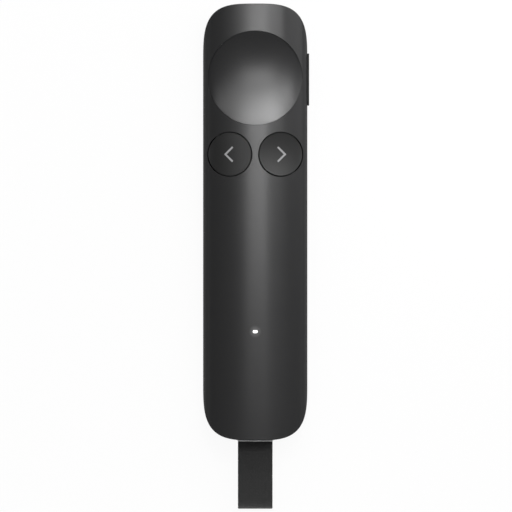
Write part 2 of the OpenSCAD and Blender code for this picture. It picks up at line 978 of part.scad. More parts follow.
module haptic_leads() {
    for (i = [0, 1])
        color(i > 0 ? "red" : "blue")
            wire([for (p = haptic_route)
                [can_x0 + haptic_lead_x + haptic_lead_pitch * i, motor_y + p[0], motor_z + p[1]]],
                haptic_lead_d);
}

// ---- Dock and receiver ----

module dock_sleeve() {
    color([0.15, 0.15, 0.16])
        difference() {
            union() {
                intersection() {
                    dock_bar(bay_w + 2 * dock_wall, dock_outer_h, bay_r + dock_wall, -half_l,
                        board_y0);
                    body_solid(wall + slack);
                }
                for (s = [-1, 1])
                    block([s * foot_x - foot_w / 2, s * foot_x + foot_w / 2],
                        [bay_y - foot_l, bay_y], [wall, dock_z - bay_h / 2 - dock_wall / 2]);
            }
            dock_bar(bay_w, bay_h, bay_r, -half_l - overcut, bay_y);
            dock_bar(port_w + 2 * slack, port_h + 2 * slack, port_r + slack / 2, bay_y - overcut,
                board_y0 + overcut);
        }
}

// Two leaf springs along the sleeve's sides, each with a pad that grips the receiver's plug
module dock_springs() {
    reach = (bay_w - plug_w) / 2 - spring_gap;
    z = [dock_z - spring_h / 2, dock_z + spring_h / 2];
    color("silver")
        for (s = [-1, 1]) {
            block(span(s * bay_w / 2, s * (bay_w / 2 - spring_t)),
                [housing_y1 + slack, bay_y], z);
            block(span(s * bay_w / 2, s * (bay_w / 2 - reach)),
                [spring_pad_y - spring_pad_l / 2, spring_pad_y + spring_pad_l / 2], z);
        }
}

module receiver_housing() {
    color([0.2, 0.2, 0.2])
        difference() {
            intersection() {
                dock_bar(receiver_w, receiver_h, housing_r, -half_l - overcut, housing_y1);
                plan_prism(0);
            }
            dock_bar(plug_w + slack, plug_h + slack, plug_r + slack / 2, cavity_y,
                housing_y1 + overcut);
            strap_slot(-half_l - overcut, cavity_y + overcut);
            collar_bar(slack / 2, -half_l - overcut, collar_deep + slack - half_l);
        }
}

module strap_slot(y0, y1) {
    dock_bar(strap_w + slack, strap_h + slack, slack, y0, y1);
}

module collar_bar(gap, y0, y1) {
    dock_bar(strap_w + 2 * (collar_rim + gap), strap_h + 2 * (collar_rim + gap),
        collar_rim + gap, y0, y1);
}

module receiver_plug_shell() {
    color("silver")
        difference() {
            dock_bar(plug_w, plug_h, plug_r, cavity_y + plug_root, plug_tip);
            dock_bar(inner_w, inner_h, plug_r - plug_t, cavity_y - overcut, plug_tip + overcut);
            for (s = [-1, 1])
                translate([s * plug_window_x, plug_window_y, dock_z])
                    cube([plug_window[0], plug_window[1], 2 * plug_h], center = true);
        }
}

module receiver_board() {
    color("darkgreen")
        block([-card_w / 2, card_w / 2], [card_y, tongue_tip], [card_z, card_z + card_t]);
}

module receiver_tongue() {
    color("white")
        block([-card_w / 2, card_w / 2], [card_y, tongue_tip],
            [card_z + card_t, dock_z + inner_h / 2 - slack / 2]);
}

module receiver_contacts() {
    color("gold")
        for (x = pad_xs)
            block([x - pad_w / 2, x + pad_w / 2], pad_ys, [card_z - pad_t, card_z]);
}

module receiver_chip() {
    size = receiver_chip_size;
    color("black")
        block([-size[0] / 2, size[0] / 2], [card_y + 0.6, card_y + 0.6 + size[1]],
            [card_z - size[2], card_z]);
}

module tab_collar() {
    color("gray")
        difference() {
            collar_bar(0, -half_l - collar_proud, collar_deep - half_l);
            strap_slot(-half_l - overcut, overcut - half_l);
        }
}

module tab_wedge() {
    color("gray")
        block([-strap_w / 2, strap_w / 2], [wedge_sink - half_l, strap_root],
            [dock_z - strap_gap / 2, dock_z + strap_gap / 2]);
}

module pull_tab() {
    color([0.25, 0.25, 0.25])
        translate([-strap_w / 2, 0, dock_z])
            rotate([90, 0, 90])
                linear_extrude(height = strap_w) {
                    for (s = [-1, 1])
                        translate([(strap_fold_y + strap_root) / 2, s * (strap_gap + strap_t) / 2])
                            square([strap_root - strap_fold_y, strap_t], center = true);
                    difference() {
                        translate([strap_fold_y, 0])
                            circle(d = strap_h, $fn = 64);
                        translate([strap_fold_y, 0])
                            circle(d = strap_gap, $fn = 48);
                        translate([strap_fold_y, -strap_h])
                            square([strap_h, 2 * strap_h]);
                    }
                }
}

top_case();
bottom_case();
pointer_key();
stem_at(0, pointer_y);  // pointer_stem
switch_at(0, pointer_y);  // pointer_switch
small_key(-1, 0, back_floor);  // back_key
chevron(-1, 0, back_floor);  // back_chevron
stem_at(-small_x, small_y);  // back_stem
switch_at(-small_x, small_y);  // back_switch
small_key(1, next_dish, next_floor);  // next_key
chevron(1, next_dish, next_floor);  // next_chevron
stem_at(small_x, small_y);  // next_stem
switch_at(small_x, small_y);  // next_switch
side_key();
side_key_clip();
side_stem();
side_switch();
light_pipe();
chip(0, led_y, lamp_size, "white");  // status_led
main_board();
board_screws();
case_screws();
chip(shield_x, shield_y, radio_size, "black");  // radio_chip
radio_shield();
chip(crystal_x, shield_y, crystal_size, "silver");  // radio_crystal
chip(sensor_x, sensor_y, sensor_size, "black");  // motion_sensor
antenna();
board_passives();
chip(charge_x, charge_y, charge_size, "black");  // charge_chip
charge_port_shell();
charge_port_tongue();
charge_port_contacts();
battery_cell();
battery_foam();
battery_leads();
battery_plug();
battery_socket();
haptic_can();
haptic_shaft();
haptic_weight();
haptic_cradle();
haptic_leads();
dock_sleeve();
dock_springs();
receiver_housing();
receiver_plug_shell();
receiver_tongue();
receiver_board();
receiver_contacts();
receiver_chip();
tab_collar();
tab_wedge();
pull_tab();
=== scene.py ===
"""Looks of a wireless presentation clicker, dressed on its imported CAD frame.

+Z is up through the keys, +Y towards the pointer key's end and +X the side key's side. Meshes are
drawn in millimetres and scaled to metres when they are done.
"""

import math

import bmesh
import bpy
import numpy as np
from mathutils import Matrix, Vector


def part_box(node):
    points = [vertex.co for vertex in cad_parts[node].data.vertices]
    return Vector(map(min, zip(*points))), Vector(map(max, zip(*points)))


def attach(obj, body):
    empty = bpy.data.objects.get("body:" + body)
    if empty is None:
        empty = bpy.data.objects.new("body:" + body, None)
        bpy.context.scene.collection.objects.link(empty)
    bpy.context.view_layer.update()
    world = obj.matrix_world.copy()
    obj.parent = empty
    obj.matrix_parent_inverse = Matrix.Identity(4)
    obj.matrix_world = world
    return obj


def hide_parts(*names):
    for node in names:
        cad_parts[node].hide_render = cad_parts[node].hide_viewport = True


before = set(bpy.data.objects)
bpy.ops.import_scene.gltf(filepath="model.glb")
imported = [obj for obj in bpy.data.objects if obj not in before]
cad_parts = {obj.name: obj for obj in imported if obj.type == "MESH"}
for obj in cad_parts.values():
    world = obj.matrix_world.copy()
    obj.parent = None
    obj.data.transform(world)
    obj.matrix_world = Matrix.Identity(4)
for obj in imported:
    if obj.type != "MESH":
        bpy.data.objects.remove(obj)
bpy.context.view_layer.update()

MM = 0.001


def box_mm(node_name):
    """Lowest and highest corners of a CAD node at rest, in millimetres."""
    low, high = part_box(node_name)
    return np.array(low) / MM, np.array(high) / MM


def size_mm(node_name):
    low, high = box_mm(node_name)
    return high - low


def middle_mm(node_name):
    low, high = box_mm(node_name)
    return (low + high) / 2


def screw_places(node_name, head_r):
    """Centres (x, y) of a node's four screws, to 0.1 mm, from the box that their heads fill."""
    low, high = box_mm(node_name)
    return [(round(x, 1), round(y, 1)) for x in (low[0] + head_r, high[0] - head_r)
            for y in (high[1] - head_r, low[1] + head_r)]


# ---- Sizes, in millimetres, read from the frame where a node's box gives them ----

# The body is a crown over a belly, both superellipse arcs, on a plan with squared-round ends.
TOP_LOW, TOP_HIGH = box_mm("top_case")
HALF_W, HALF_L, Z_TOP = TOP_HIGH
Z_SEAM = TOP_LOW[2]
SEAM_GAP = 0.15
Z_SPLIT = Z_SEAM - SEAM_GAP
CROWN_H = Z_TOP - Z_SPLIT
CROWN_N = 2.5
BELLY_H = Z_SPLIT
BELLY_N = 2.8
REST_CUT = 0.4  # what the flat rest face takes off the belly's arc
END_ROUND = 16.5
END_N = 3.4
END_TRIM = 0.14  # how much shorter each end is than the CAD body's
END_FILLET = 0.28
WALL = 1.4
LIP_H = 0.9
LIP_T = 0.6
LIP_GAP = 0.05
OVERCUT = 1.0  # how far a cutter reaches past what it cuts
SLACK = 0.1  # room round a piece in its seat

# Round keys: a top that follows or hollows the crown, a skirt, and a post down to the switch.
POINTER_Y = middle_mm("pointer_key")[1]
POINTER_R = 13.6
POINTER_GAP = 0.04
POINTER_DISH = 1.6
POINTER_BLEND = 0.55
POINTER_EDGE = 0.05
POINTER_TAB_W = 6.0
SMALL_X, SMALL_Y = middle_mm("next_key")[:2]
SMALL_R = 6.5
SMALL_GAP = 0.35
SMALL_EDGE = 0.06
SMALL_TAB_W = 5.0
NEXT_DISH = 0.5
ROOF_Z = 10.0
SKIRT_Z = 8.4
SKIRT_T = 1.88
POST_R = 1.4
STEM_TOP = box_mm("pointer_stem")[1][2]
TAB_H = 0.8
TAB_REACH = 1.0
TAB_ROOT = 0.6
CHEVRON_TIP = 1.26
CHEVRON_ARM = 2.09
CHEVRON_T = 0.52
CHEVRON_DEPTH = 0.5

# Key holes: a rim under the crown, and a mouth with a small rounded edge.
HOLE_Z = 8.0
HOLE_SLOPE = 1.2
HOLE_FLARE = 0.03
FLARE_TURN = math.radians(85)
RIM_Z = 9.3
RIM_T = 1.1

SIDE_LOW, SIDE_HIGH = box_mm("side_key")
SIDE_Y = middle_mm("side_key")[1]
_, SIDE_L, SIDE_H = size_mm("side_key")
SIDE_GAP = 0.1
SIDE_EDGE = 0.06
SIDE_POST_R = 0.8
CLIP_LOW, CLIP_HIGH = box_mm("side_key_clip")

LED_Y = middle_mm("status_led")[1]
WINDOW_SHIFT = 0.1
WINDOW_Y = LED_Y - WINDOW_SHIFT
WINDOW_L = 1.38
WINDOW_W = 0.82
WINDOW_GAP = 0.01
PIPE_BOTTOM = box_mm("light_pipe")[0][2]
PIPE_R = size_mm("light_pipe")[0] / 2
PIPE_BOSS_R = 1.8
PIPE_BOSS_Z = 8.5

SCREW_HEAD_R = 1.4
SCREW_XY = screw_places("case_screws", SCREW_HEAD_R)
POST_XY = screw_places("board_screws", SCREW_HEAD_R)
BOSS_R = 2.1
SCREW_POST_R = 1.8
SCREW_HOLE_R = 0.9
SCREW_PILOT_R = 0.82
SCREW_SEAT_Z = 1.9
SCREW_TIP = box_mm("case_screws")[1][2]
BOARD_Z = box_mm("main_board")[0][2]

# Receiver, with its collar and strap, on the middle line of the dock.
DOCK_Z = middle_mm("receiver_housing")[2]
DOCK_GAP = 0.15
HOUSING_BACK = box_mm("receiver_housing")[1][1]
HOUSING_W, _, HOUSING_H = size_mm("receiver_housing")
HOUSING_R = 1.45
HOUSING_EDGE = 0.2
PLUG_W, _, PLUG_H = size_mm("receiver_plug_shell")
PLUG_R = 0.65
PLUG_END_GAP = 0.3
CAVITY_Y = box_mm("receiver_plug_shell")[0][1] - PLUG_END_GAP
COLLAR_LOW, COLLAR_HIGH = box_mm("tab_collar")
COLLAR_W, _, COLLAR_H = size_mm("tab_collar")
COLLAR_R = 0.4
COLLAR_EDGE = 0.1
COLLAR_SINK = 0.02
COLLAR_PROUD = 0.3
COLLAR_FLUSH = -HALF_L + END_TRIM + COLLAR_SINK
COLLAR_FRONT = -HALF_L + END_TRIM - COLLAR_PROUD
TAB_LOW, TAB_HIGH = box_mm("pull_tab")
STRAP_W = round(TAB_HIGH[0] - TAB_LOW[0], 3)
STRAP_H = TAB_HIGH[2] - TAB_LOW[2]
STRAP_T = 0.7
STRAP_SLACK = 0.33  # how far the soft fold reaches past the CAD strap's end
STRAP_FOLD = 2.5
SELVAGE_W = 0.55
SELVAGE_ROUND = 0.6
SELVAGE_BACK = 0.8
STRAP_FACE = 0.96  # the flat middle's share of the selvage's thickness

# How finely the meshes are drawn.
COLUMNS = 180
ROWS = 56
FILLET_STEPS = 5
CORNER_STEPS = 12
STADIUM_STEPS = 16
DISC_SIDES = 160
ROD_SIDES = 96
POINTER_RINGS = 48
SMALL_RINGS = 28
STRAP_STEPS = 60
FOLD_STEPS = 24
WEB_STEPS = 30
SELVAGE_STEPS = 12
MERGE = 1e-4  # points this close become one
HAIR = 0.002  # keeps the points of a round stadium apart
SMALLEST_R = 0.01
CAP_MIDDLE = 0.001  # the ring at the middle of a cap's top, as a share of its radius
END_MIDDLE = 0.01  # and the one that closes its lower end

# Shading: a face takes a surface's exact normal where it lies on it and leans no further.
SLOPE_STEP = 0.004
ON_SURFACE = 0.004
LEAN = math.radians(14)
SHARP_DEG = 32.0
STRAP_SHARP_DEG = 50.0


# ---- Surfaces of the body ----

def power(value, exponent):
    return np.sign(value) * np.abs(value) ** exponent


def crown_z(x, inset=0.0):
    reach = np.clip(1 - (np.abs(x) / (HALF_W - inset)) ** CROWN_N, 0, 1)
    return Z_SPLIT + (CROWN_H - inset) * reach ** (1 / CROWN_N)


def belly_z(x, inset=0.0):
    reach = np.clip(1 - (np.abs(x) / (HALF_W - inset)) ** BELLY_N, 0, 1)
    depth = (BELLY_H + REST_CUT - inset) * reach ** (1 / BELLY_N)
    return Z_SPLIT - np.minimum(depth, BELLY_H - inset)


def end_y(x, inset=0.0):
    """Half length of the body's plan at x."""
    reach = np.clip(1 - (np.abs(x) / (HALF_W - inset)) ** END_N, 0, 1)
    return HALF_L - END_TRIM - END_ROUND + (END_ROUND - inset) * reach ** (1 / END_N)


def crown(x, y):
    return crown_z(x)


def belly(x, y):
    return belly_z(x)


def level(z):
    return lambda x: np.full(np.shape(x), float(z)) if np.ndim(x) else float(z)


def dished(cx, cy, dish, hole_r, blend=0.0):
    """Height of a key's top about (cx, cy): the crown, sunk by dish at its middle.

    Blend is the share of a plain parabola, level with the crown at hole_r, in the curve across.
    """
    rim_drop = Z_TOP - crown_z(hole_r)

    def height(x, y):
        share = ((x - cx) ** 2 + (y - cy) ** 2) / hole_r**2
        even = Z_TOP - rim_drop * (x / hole_r) ** 2
        return (1 - blend) * crown_z(x) + blend * even - dish * (1 - share)
    return height


def unit_rows(v):
    return v / np.linalg.norm(v, axis=1, keepdims=True)


def height_normals(points, height):
    """Upward normals of the surface z = height(x, y) at points."""
    step = SLOPE_STEP
    x, y = points[:, 0], points[:, 1]
    slope_x = (height(x + step, y) - height(x - step, y)) / (2 * step)
    slope_y = (height(x, y + step) - height(x, y - step)) / (2 * step)
    return unit_rows(np.stack([-slope_x, -slope_y, np.ones_like(x)], axis=1))


# ---- Mesh tools ----

def new_object(name, data):
    made = bpy.data.objects.new(name, data)
    bpy.context.scene.collection.objects.link(made)
    return made


def clean_mesh(mesh, merge=0.0):
    """Turns every face outward, after the points that lie within merge are joined."""
    tidy = bmesh.new()
    tidy.from_mesh(mesh)
    if merge:
        bmesh.ops.remove_doubles(tidy, verts=tidy.verts, dist=merge)
        bmesh.ops.dissolve_degenerate(tidy, edges=tidy.edges, dist=merge)
    bmesh.ops.recalc_face_normals(tidy, faces=tidy.faces)
    tidy.to_mesh(mesh)
    tidy.free()


def evaluated_mesh(piece):
    """A new mesh of the piece with its modifiers applied."""
    graph = bpy.context.evaluated_depsgraph_get()
    return bpy.data.meshes.new_from_object(piece.evaluated_get(graph))


def combine(target, operation, *tools):
    """Target after a boolean with each tool in turn. The tools are used up."""
    for tool in tools:
        change = target.modifiers.new("change", "BOOLEAN")
        change.operation = operation
        change.solver = "MANIFOLD"
        change.object = tool
        result = evaluated_mesh(target)
        target.modifiers.clear()
        target.data = result
        bpy.data.objects.remove(tool)
    return target


def cut(target, *tools):
    return combine(target, "DIFFERENCE", *tools)


def add(target, *tools):
    return combine(target, "UNION", *tools)


def common(target, *tools):
    return combine(target, "INTERSECT", *tools)


def together(objects):
    """One object from several that don't overlap."""
    joined = bmesh.new()
    for part in objects:
        joined.from_mesh(part.data)
        bpy.data.objects.remove(part)
    mesh = bpy.data.meshes.new("solid")
    joined.to_mesh(mesh)
    joined.free()
    return new_object("solid", mesh)


def skin(rings):
    """Faces between neighbouring rings of equal point counts, and the two end caps."""
    count = len(rings[0])
    faces = []
    for i in range(len(rings) - 1):
        a, b = i * count, (i + 1) * count
        for j in range(count):
            k = (j + 1) % count
            faces.append((a + j, a + k, b + k, b + j))
    last = (len(rings) - 1) * count
    faces.append(tuple(range(count)))
    faces.append(tuple(range(last + count - 1, last - 1, -1)))
    return faces


def ring_solid(rings):
    mesh = bpy.data.meshes.new("solid")
    mesh.from_pydata([tuple(point) for ring in rings for point in ring], [], skin(rings))
    clean_mesh(mesh, MERGE)
    return new_object("solid", mesh)


def polar_solid(cx, cy, rows, sides=DISC_SIDES):
    """Solid about (cx, cy) from rows of (radius, height), where a height may be a surface."""
    turn = np.arange(sides) * 2 * math.pi / sides
    rings = []
    for radius, height in rows:
        x = cx + radius * np.cos(turn)
        y = cy + radius * np.sin(turn)
        z = height(x, y) if callable(height) else np.full(sides, float(height))
        rings.append(np.stack([x, y, z], axis=1))
    return ring_solid(rings)


def rod(x, y, r, low, high):
    return polar_solid(x, y, [(r, low), (r, high)], ROD_SIDES)


def prism(outline, place, low, high):
    """Prism of a 2D outline between two depths. place turns (u, v, depth) into a point."""
    return ring_solid([[place(u, v, depth) for u, v in outline] for depth in (low, high)])


def upright(u, v, depth):
    return (u, v, depth)


def along_y(u, v, depth):
    return (u, depth, DOCK_Z + v)


def along_x(u, v, depth):
    return (depth, SIDE_Y + u, Z_SPLIT + v)


def block(low, high):
    outline = [(low[0], low[1]), (high[0], low[1]), (high[0], high[1]), (low[0], high[1])]
    return prism(outline, upright, low[2], high[2])


def rounded_outline(w, h, r, inset=0.0, steps=CORNER_STEPS):
    """Outline of a w by h rectangle with corner radius r, moved in by inset."""
    radius = max(r - inset, SMALLEST_R)
    points = []
    for corner in range(4):
        start = corner * math.pi / 2
        cx = (w / 2 - inset - radius) * (1 if corner in (0, 3) else -1)
        cy = (h / 2 - inset - radius) * (1 if corner in (0, 1) else -1)
        for k in range(steps + 1):
            angle = start + k * math.pi / 2 / steps
            points.append((cx + radius * math.cos(angle), cy + radius * math.sin(angle)))
    return points


def stadium(length, width):
    return rounded_outline(length, width, width / 2, 0, STADIUM_STEPS)


def rounded_edge(radius):
    """Pairs (inset, sink) round a quarter edge, from the face out to the side."""
    turns = [math.pi / 2 * k / FILLET_STEPS for k in range(FILLET_STEPS + 1)]
    return [(radius * (1 - math.sin(turn)), radius * (1 - math.cos(turn))) for turn in turns]


def body_solid(columns, top, bottom, inset=0.0, fillet_top=0.0, fillet_bottom=0.0):
    """The body between two heights that depend on x, with vertical ends on its plan outline.

    Each column is one loop in a plane of constant x: along the top, down one end, back along the
    bottom and up the other end. A fillet shrinks where the surface itself turns to the side.
    """
    slope = np.gradient(top(columns), columns)
    flatness_top = 1 / np.sqrt(1 + slope**2)
    slope = np.gradient(bottom(columns), columns)
    flatness_bottom = 1 / np.sqrt(1 + slope**2)
    arc = np.linspace(0, math.pi / 2, FILLET_STEPS + 1)
    along = np.linspace(-1, 1, ROWS)
    rings = []
    for i, x in enumerate(columns):
        high, low, reach = top(x), bottom(x), end_y(x, inset)
        up = min(fillet_top * flatness_top[i], (high - low) / 3)
        down = min(fillet_bottom * flatness_bottom[i], (high - low) / 3)
        ring = [(x, (reach - up) * v, high) for v in along]
        ring += [(x, reach - up + up * math.sin(a), high - up + up * math.cos(a)) for a in arc[1:]]
        ring += [(x, reach - down + down * math.cos(a), low + down - down * math.sin(a))
                 for a in arc]
        ring += [(x, (reach - down) * -v, low) for v in along[1:]]
        ring += [(x, -reach + down - down * math.sin(a), low + down - down * math.cos(a))
                 for a in arc[1:]]
        ring += [(x, -reach + up - up * math.cos(a), high - up + up * math.sin(a))
                 for a in arc[:-1]]
        rings.append(ring)
    return ring_solid(rings)


def crown_columns(inset=0.0, start=0.0):
    """Places across the crown, close together where it turns down, from the height start."""
    low = math.asin((start / (CROWN_H - inset)) ** (CROWN_N / 2))
    angle = np.linspace(math.pi - low, low, COLUMNS + 1)
    return (HALF_W - inset) * power(np.cos(angle), 2 / CROWN_N)


def belly_columns(inset=0.0):
    """Places across the belly, with the two edges of its flat among them."""
    depth = (BELLY_H - inset) / (BELLY_H + REST_CUT - inset)
    flat = (HALF_W - inset) * (1 - depth**BELLY_N) ** (1 / BELLY_N)
    return np.unique(np.concatenate([crown_columns(inset), [-flat, flat]]))


# ---- Shading and hand-over ----

def read_array(items, name, width, kind=np.float64):
    values = np.empty(len(items) * width, dtype=kind)
    items.foreach_get(name, values)
    return values.reshape(-1, width) if width > 1 else values


def follow_surfaces(mesh, surfaces):
    """Gives each corner that lies on one of the surfaces that surface's exact normal."""
    normals = read_array(mesh.corner_normals, "vector", 3)
    corner_point = read_array(mesh.loops, "vertex_index", 1, np.int64)
    points = read_array(mesh.vertices, "co", 3)[corner_point]
    corners = read_array(mesh.polygons, "loop_total", 1, np.int64)
    face_normals = np.repeat(read_array(mesh.polygons, "normal", 3), corners, axis=0)
    for height in surfaces:
        sign = -1 if height is belly else 1
        exact = sign * height_normals(points, height)
        on = np.abs(points[:, 2] - height(points[:, 0], points[:, 1])) < ON_SURFACE
        on &= np.sum(exact * face_normals, axis=1) > math.cos(LEAN)
        normals[on] = exact[on]
    mesh.normals_split_custom_set(unit_rows(normals).tolist())


def set_normals(piece, surfaces, sharp_deg):
    """Smooth shading with sharp edges kept, and exact where a surface's formula is known."""
    piece.data.shade_smooth()
    piece.data.set_sharp_from_angle(angle=math.radians(sharp_deg))
    weigh = piece.modifiers.new("weigh", "WEIGHTED_NORMAL")
    weigh.keep_sharp = True
    mesh = evaluated_mesh(piece)
    piece.modifiers.clear()
    piece.data = mesh
    if surfaces:
        follow_surfaces(mesh, surfaces)


def finish_piece(piece, name, body, slot, node_name, surfaces=(), finish=None,
                 sharp_deg=SHARP_DEG):
    """Shades a piece, scales it to metres and hands it to the frame in place of a CAD node."""
    set_normals(piece, surfaces, sharp_deg)
    piece.data.transform(Matrix.Scale(MM, 4))
    piece.name = name
    piece.data.name = name
    piece.data.materials.clear()
    piece.data.materials.append(materials[finish or slot])
    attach(piece, body)
    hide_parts(node_name)
    return piece


# ---- Node tools, for a material or the world as owner ----

def node(owner, kind, **values):
    """New node whose values are sockets' defaults or the node's own settings."""
    made = owner.node_tree.nodes.new(kind)
    for key, value in values.items():
        if key in made.inputs:
            made.inputs[key].default_value = value
        else:
            setattr(made, key, value)
    return made


def link(owner, source, target):
    owner.node_tree.links.new(source, target)


def math_node(owner, operation, *values):
    made = node(owner, "ShaderNodeMath", operation=operation)
    for socket, value in zip(made.inputs, values):
        if isinstance(value, (int, float)):
            socket.default_value = value
        else:
            link(owner, value, socket)
    return made.outputs[0]


def map_range(owner, source, span, result, interpolation="SMOOTHSTEP"):
    """Source with its span of values turned into the result's span."""
    made = node(owner, "ShaderNodeMapRange", interpolation_type=interpolation)
    for key, value in zip(("From Min", "From Max", "To Min", "To Max"), (*span, *result)):
        made.inputs[key].default_value = value
    link(owner, source, made.inputs["Value"])
    return made.outputs["Result"]


def mix_shaders(owner, share, first, second):
    made = node(owner, "ShaderNodeMixShader")
    for socket, source in zip(made.inputs, (share, first, second)):
        link(owner, source, socket)
    return made.outputs["Shader"]


# ---- Material tools ----

WHITE = (1, 1, 1, 1)


def new_material(name, color, roughness, metallic=0.0, specular=0.5):
    material = bpy.data.materials.new(name)
    material.use_nodes = True
    shader = shader_of(material)
    shader.inputs["Base Color"].default_value = (*color, 1)
    shader.inputs["Roughness"].default_value = roughness
    shader.inputs["Metallic"].default_value = metallic
    shader.inputs["Specular IOR Level"].default_value = specular
    return material


def shader_of(material):
    return material.node_tree.nodes["Principled BSDF"]


def noise(material, grain_mm, detail=2.0, stretch=(1, 1, 1)):
    """Noise with a grain of the given size, in object space."""
    place = node(material, "ShaderNodeTexCoord")
    fit = node(material, "ShaderNodeMapping", Scale=stretch)
    link(material, place.outputs["Object"], fit.inputs["Vector"])
    made = node(material, "ShaderNodeTexNoise", Scale=1 / (grain_mm * MM), Detail=detail)
    link(material, fit.outputs["Vector"], made.inputs["Vector"])
    return made.outputs["Fac"]


def vary_color(material, source, color, spread):
    """Base colour that strays from color by spread, as a share, with the source."""
    shade = map_range(material, source, (0, 1), (1 - spread, 1 + spread), "LINEAR")
    mixed = node(material, "ShaderNodeMix", data_type="RGBA", blend_type="MULTIPLY")
    # A Mix node has its share at input 0 and two colours at 6 and 7. Its colour is output 2.
    mixed.inputs[0].default_value = 1
    mixed.inputs[6].default_value = (*color, 1)
    link(material, shade, mixed.inputs[7])
    link(material, mixed.outputs[2], shader_of(material).inputs["Base Color"])


def vary_roughness(material, source, low, high):
    rough = map_range(material, source, (0, 1), (low, high), "LINEAR")
    link(material, rough, shader_of(material).inputs["Roughness"])


def bump(material, source, strength, depth_mm):
    made = node(material, "ShaderNodeBump", Strength=strength, Distance=depth_mm * MM)
    link(material, source, made.inputs["Height"])
    link(material, made.outputs["Normal"], shader_of(material).inputs["Normal"])


GRAIN_DETAIL = 3.0
GRAIN_DEPTH_MM = 0.01
DRIFT_MM = 14.0
DRIFT_ROUGHNESS = 0.02
STREAK_MM = 0.12
STREAK_SHAPE = (1, 1 / 12, 1)
STREAK_SPREAD = 0.08
STREAK_GLOSSIER = 0.06
STREAK_DULLER = 0.08
STREAK_BUMP = 0.15
STREAK_DEPTH_MM = 0.006
MILKY_ROUGHNESS = 0.3


def grained(name, color, roughness, specular, grain_mm, strength, spread, metallic=0.0):
    """Moulded or blasted surface: a fine even grain, with a slight drift of tone and gloss."""
    material = new_material(name, color, roughness, metallic, specular)
    fine = noise(material, grain_mm, GRAIN_DETAIL)
    drift = noise(material, DRIFT_MM)
    vary_color(material, fine, color, spread)
    vary_roughness(material, drift, roughness - DRIFT_ROUGHNESS, roughness + DRIFT_ROUGHNESS)
    bump(material, fine, strength, GRAIN_DEPTH_MM)
    return material


def brushed(name, color, roughness):
    """Drawn sheet metal, with long faint streaks along Y."""
    material = new_material(name, color, roughness, metallic=1.0)
    streaks = noise(material, STREAK_MM, GRAIN_DETAIL, STREAK_SHAPE)
    vary_color(material, streaks, color, STREAK_SPREAD)
    vary_roughness(material, streaks, roughness - STREAK_GLOSSIER, roughness + STREAK_DULLER)
    bump(material, streaks, STREAK_BUMP, STREAK_DEPTH_MM)
    return material


def milky(name, color, grain_mm, spread, glow_color, strength):
    """Clouded plastic, lit from within."""
    material = new_material(name, color, MILKY_ROUGHNESS)
    vary_color(material, noise(material, grain_mm), color, spread)
    shader = shader_of(material)
    shader.inputs["Emission Color"].default_value = (*glow_color, 1)
    shader.inputs["Emission Strength"].default_value = strength
    return material


# ---- Materials ----

SHELL = (0.022, 0.022, 0.0225)
DISH = (0.019, 0.019, 0.0195)
SMALL = (0.0168, 0.0168, 0.0168)
MARK = (0.28, 0.28, 0.285)
GRAINED = [
    # name, color, roughness, specular, grain mm, bump strength, spread of tone, metallic if any
    ("shell", SHELL, 0.23, 0.5, 0.22, 0.4, 0.06),
    ("shell_under", SHELL, 0.42, 0.5, 0.16, 0.25, 0.06),
    ("key_dish", DISH, 0.255, 0.5, 0.55, 0.5, 0.06),
    ("key_small", SMALL, 0.4, 0.31, 0.2, 0.35, 0.06),
    ("key_side", SMALL, 0.6, 0.1, 0.16, 0.25, 0.06),
    ("mark", MARK, 0.55, 0.3, 0.1, 0.1, 0.03),
    ("collar", (0.60, 0.60, 0.605), 0.4, 0.4, 0.16, 0.25, 0.06),
    ("receiver_shell", (0.02, 0.02, 0.0205), 0.5, 0.3, 0.16, 0.25, 0.06),
    ("inner_plastic", (0.018, 0.018, 0.019), 0.6, 0.4, 0.3, 0.25, 0.06),
    ("stem", (0.72, 0.68, 0.58), 0.45, 0.5, 0.3, 0.1, 0.03),
    ("chip", (0.018, 0.018, 0.019), 0.6, 0.4, 0.08, 0.4, 0.06),
    ("ceramic", (0.46, 0.35, 0.23), 0.6, 0.4, 0.1, 0.3, 0.1),
    ("foam", (0.025, 0.025, 0.026), 0.95, 0.2, 0.35, 0.9, 0.25),
    ("wire", (0.42, 0.02, 0.02), 0.5, 0.5, 0.3, 0.1, 0.05),
    ("socket", (0.78, 0.76, 0.68), 0.5, 0.5, 0.3, 0.1, 0.03),
    ("rubber", (0.03, 0.03, 0.035), 0.8, 0.3, 0.2, 0.4, 0.06),
    ("tungsten", (0.35, 0.34, 0.32), 0.45, 0.5, 0.06, 0.4, 0.1, 1.0),
]
BRUSHED = [
    # name, color, roughness
    ("steel", (0.58, 0.58, 0.59), 0.3),
    ("black_steel", (0.06, 0.06, 0.062), 0.4),
    ("tin", (0.68, 0.68, 0.66), 0.35),
    ("gold", (0.83, 0.63, 0.3), 0.25),
]
MILKY = [
    # name, color, grain mm, spread of tone, glow, its strength
    ("window", (0.9, 0.9, 0.9), 0.5, 0.03, (1, 1, 1), 1.1),
    ("lamp", (0.92, 0.92, 0.86), 0.4, 0.04, (1, 1, 0.95), 1.0),
]

# The shell's gloss comes in over two stretches of the normal's upright share, flank and top.
FLANK_UPRIGHT = (0.15, 0.60)
FLANK_SPECULAR = 0.045
TOP_UPRIGHT = (0.68, 0.88)
TOP_SPECULAR = 0.5

# Painted glow on the shell round the window: the emission's reach in millimetres, and its strength.
PAINTED_GLOW_MM = (0.5, 2.0)
PAINTED_GLOW_STRENGTH = 0.06

WEBBING = (0.0055, 0.0055, 0.0056)
WEAVE_MM = 0.42
WEAVE_DEPTH_MM = 0.03
FUZZ_MM = 0.08
FUZZ_SHARE = 0.35

MASK = (0.012, 0.013, 0.012)
MASK_DARK = (0.010, 0.011, 0.010, 1)
TRACK = (0.024, 0.026, 0.022, 1)
TRACK_SCALE = 420.0
TRACK_SHARE = 0.03
TRACK_DEPTH_MM = 0.03

